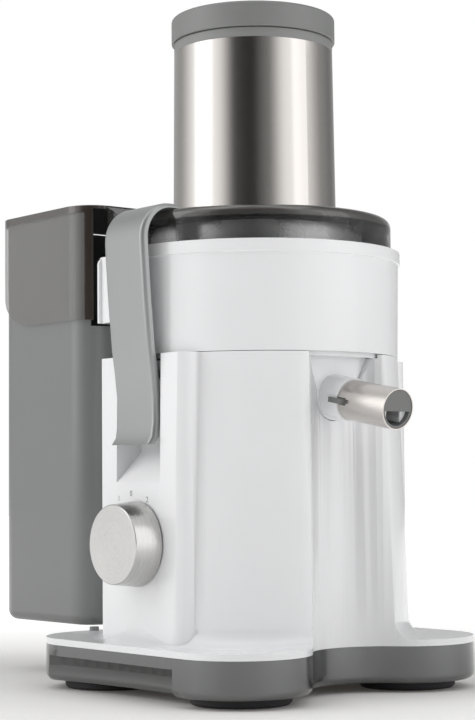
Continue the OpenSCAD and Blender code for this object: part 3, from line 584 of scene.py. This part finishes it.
# %% [markdown]
# ## The stage
# A pale floor, soft boxes at both sides and a soft light above. What steel shows is its
# surroundings, so the world is a studio ring: bright walls left and right of the camera
# and a darker opening where the camera stands. The ring is fixed to the floor and the
# object, and the camera sees plain white behind it. The floor has a painted glow away from
# the machine, so that it reads as white there. The glow fades out near the machine, so the
# floor there is darker by painted shade as well as by the real shadow of the tray.

# %% The floor
FLOOR_R = 6.0
PAINTED_GLOW_FROM = 0.15
PAINTED_GLOW_FULL = 0.6
bm = bmesh.new()
bmesh.ops.create_circle(bm, cap_ends=True, segments=96, radius=FLOOR_R)
floor_mesh = bpy.data.meshes.new("floor")
bm.to_mesh(floor_mesh)
bm.free()
floor = bpy.data.objects.new("floor", floor_mesh)
bpy.context.scene.collection.objects.link(floor)
f = new_finish("pale_floor")
speck = f.noise(40)
reach = f.node("ShaderNodeVectorMath", {"operation": "LENGTH"}, {0: f.place()}, "Value")
# Painted light: the floor glows, only faintly within 0.15 m of the middle and fully from 0.6 m
# out. The faint glow near the machine is painted shade.
floor_mesh.materials.append(f.finish(
    Base_Color=f.tint(speck, (0.93, 0.925, 0.92), (0.95, 0.945, 0.94)), Roughness=0.6,
    Emission_Color=f.tint(reach.ramp(PAINTED_GLOW_FROM, PAINTED_GLOW_FULL), (0.05, 0.045, 0.04), (1, 1, 1)),
    Emission_Strength=0.5))

# %% The studio ring
CAMERA_AZIMUTH = 50.0
RING_STRENGTH = 0.85
world = bpy.data.worlds.new("studio")
bpy.context.scene.world = world
f = Finish(world)
way = f.node("ShaderNodeTexCoord", output="Generated")
way_x = f.node("ShaderNodeSeparateXYZ", None, {0: way}, "X")
way_y = f.node("ShaderNodeSeparateXYZ", None, {0: way}, "Y")
turned = Matrix.Rotation(math.radians(90 - CAMERA_AZIMUTH), 2)
front_x = way_x * turned[0][0] + way_y * turned[0][1]
front_y = way_x * turned[1][0] + way_y * turned[1][1]
bearing = front_y.math("ARCTAN2", front_x) * (180 / math.pi)
ring = f.tree.nodes.new("ShaderNodeValToRGB")
ring.color_ramp.interpolation = "EASE"
f.put(ring.inputs[0], bearing.ramp(-180, 180))
stops = [(-180, 0.6), (-131, 0.5), (-82, 1.7), (-56, 1.5), (-25, 0.07), (-3, 0.03), (19, 0.25),
         (49, 1.5), (84, 1.0), (113, 0.4), (139, 0.27), (180, 0.6)]
for i, (degrees, level) in enumerate(stops):
    at = (degrees + 180) / 360
    stop = ring.color_ramp.elements[i] if i < 2 else ring.color_ramp.elements.new(at)
    stop.position = at
    stop.color = (level, level, level, 1)
seen = f.node("ShaderNodeLightPath", output="Is Camera Ray")
ring_light = Value(f, ring.outputs[0])
studio = f.node("ShaderNodeBackground", None, {"Color": ring_light, "Strength": RING_STRENGTH})
plain = f.node("ShaderNodeBackground", None, {"Color": (1, 1, 1, 1), "Strength": 1.0})
mixed = f.node("ShaderNodeMixShader", None, {0: seen, 1: studio, 2: plain})
out = f.tree.nodes.new("ShaderNodeOutputWorld")
f.tree.links.new(mixed.socket, out.inputs["Surface"])
print("studio ring", len(stops), "stops")


# %% Soft boxes
def soft_box(name, bearing_degrees, reach, height, size, power):
    light = bpy.data.lights.new(name, "AREA")
    light.shape = "RECTANGLE"
    light.size, light.size_y = size
    light.energy = power
    lamp = bpy.data.objects.new(name, light)
    bpy.context.scene.collection.objects.link(lamp)
    turn = math.radians(CAMERA_AZIMUTH + bearing_degrees)
    lamp.location = Vector((math.sin(turn) * reach, -math.cos(turn) * reach, height))
    aim = Vector((0, 0, 0.18)) - lamp.location
    lamp.rotation_mode = "QUATERNION"
    lamp.rotation_quaternion = aim.to_track_quat("-Z", "Y")


soft_box("left_box", -75, 1.6, 0.9, (0.9, 1.6), 4)
soft_box("right_box", 70, 1.8, 0.8, (0.9, 1.6), 3)
soft_box("top_box", 10, 0.3, 1.9, (1.6, 1.6), 5)
print("soft boxes set")

# %% [markdown]
# ## The camera
# A long lens at worktop height, looking up a little. It stands 50 degrees round from the
# knob side, so that both the knob and the spout show.

# %% The camera
DISTANCE = 1053 * MM
HEIGHT = 115.5 * MM
PITCH = math.radians(3.86)
YAW = math.radians(0.582)
ROLL = math.radians(-0.5)
turn = math.radians(CAMERA_AZIMUTH)
spot = AXIS + Vector((math.sin(turn) * DISTANCE, -math.cos(turn) * DISTANCE, HEIGHT))
ahead = Matrix.Rotation(YAW, 3, "Z") @ Vector((-math.sin(turn), math.cos(turn), 0))
side = Vector((ahead.y, -ahead.x, 0))
look = ahead * math.cos(PITCH) + Vector((0, 0, math.sin(PITCH)))
rise = Vector((0, 0, math.cos(PITCH))) - ahead * math.sin(PITCH)
right = side * math.cos(ROLL) + rise * math.sin(ROLL)
up = rise * math.cos(ROLL) - side * math.sin(ROLL)
lens = bpy.data.cameras.new("camera")
lens.sensor_width = 36
lens.lens = 91.3
lens.clip_start = 0.05
lens.clip_end = 50
camera = bpy.data.objects.new("camera", lens)
bpy.context.scene.collection.objects.link(camera)
camera.matrix_world = Matrix((
    (right.x, up.x, -look.x, spot.x),
    (right.y, up.y, -look.y, spot.y),
    (right.z, up.z, -look.z, spot.z),
    (0, 0, 0, 1)))
bpy.context.scene.camera = camera
bpy.context.scene.view_settings.view_transform = "Standard"
print("camera at", [round(v, 3) for v in spot])
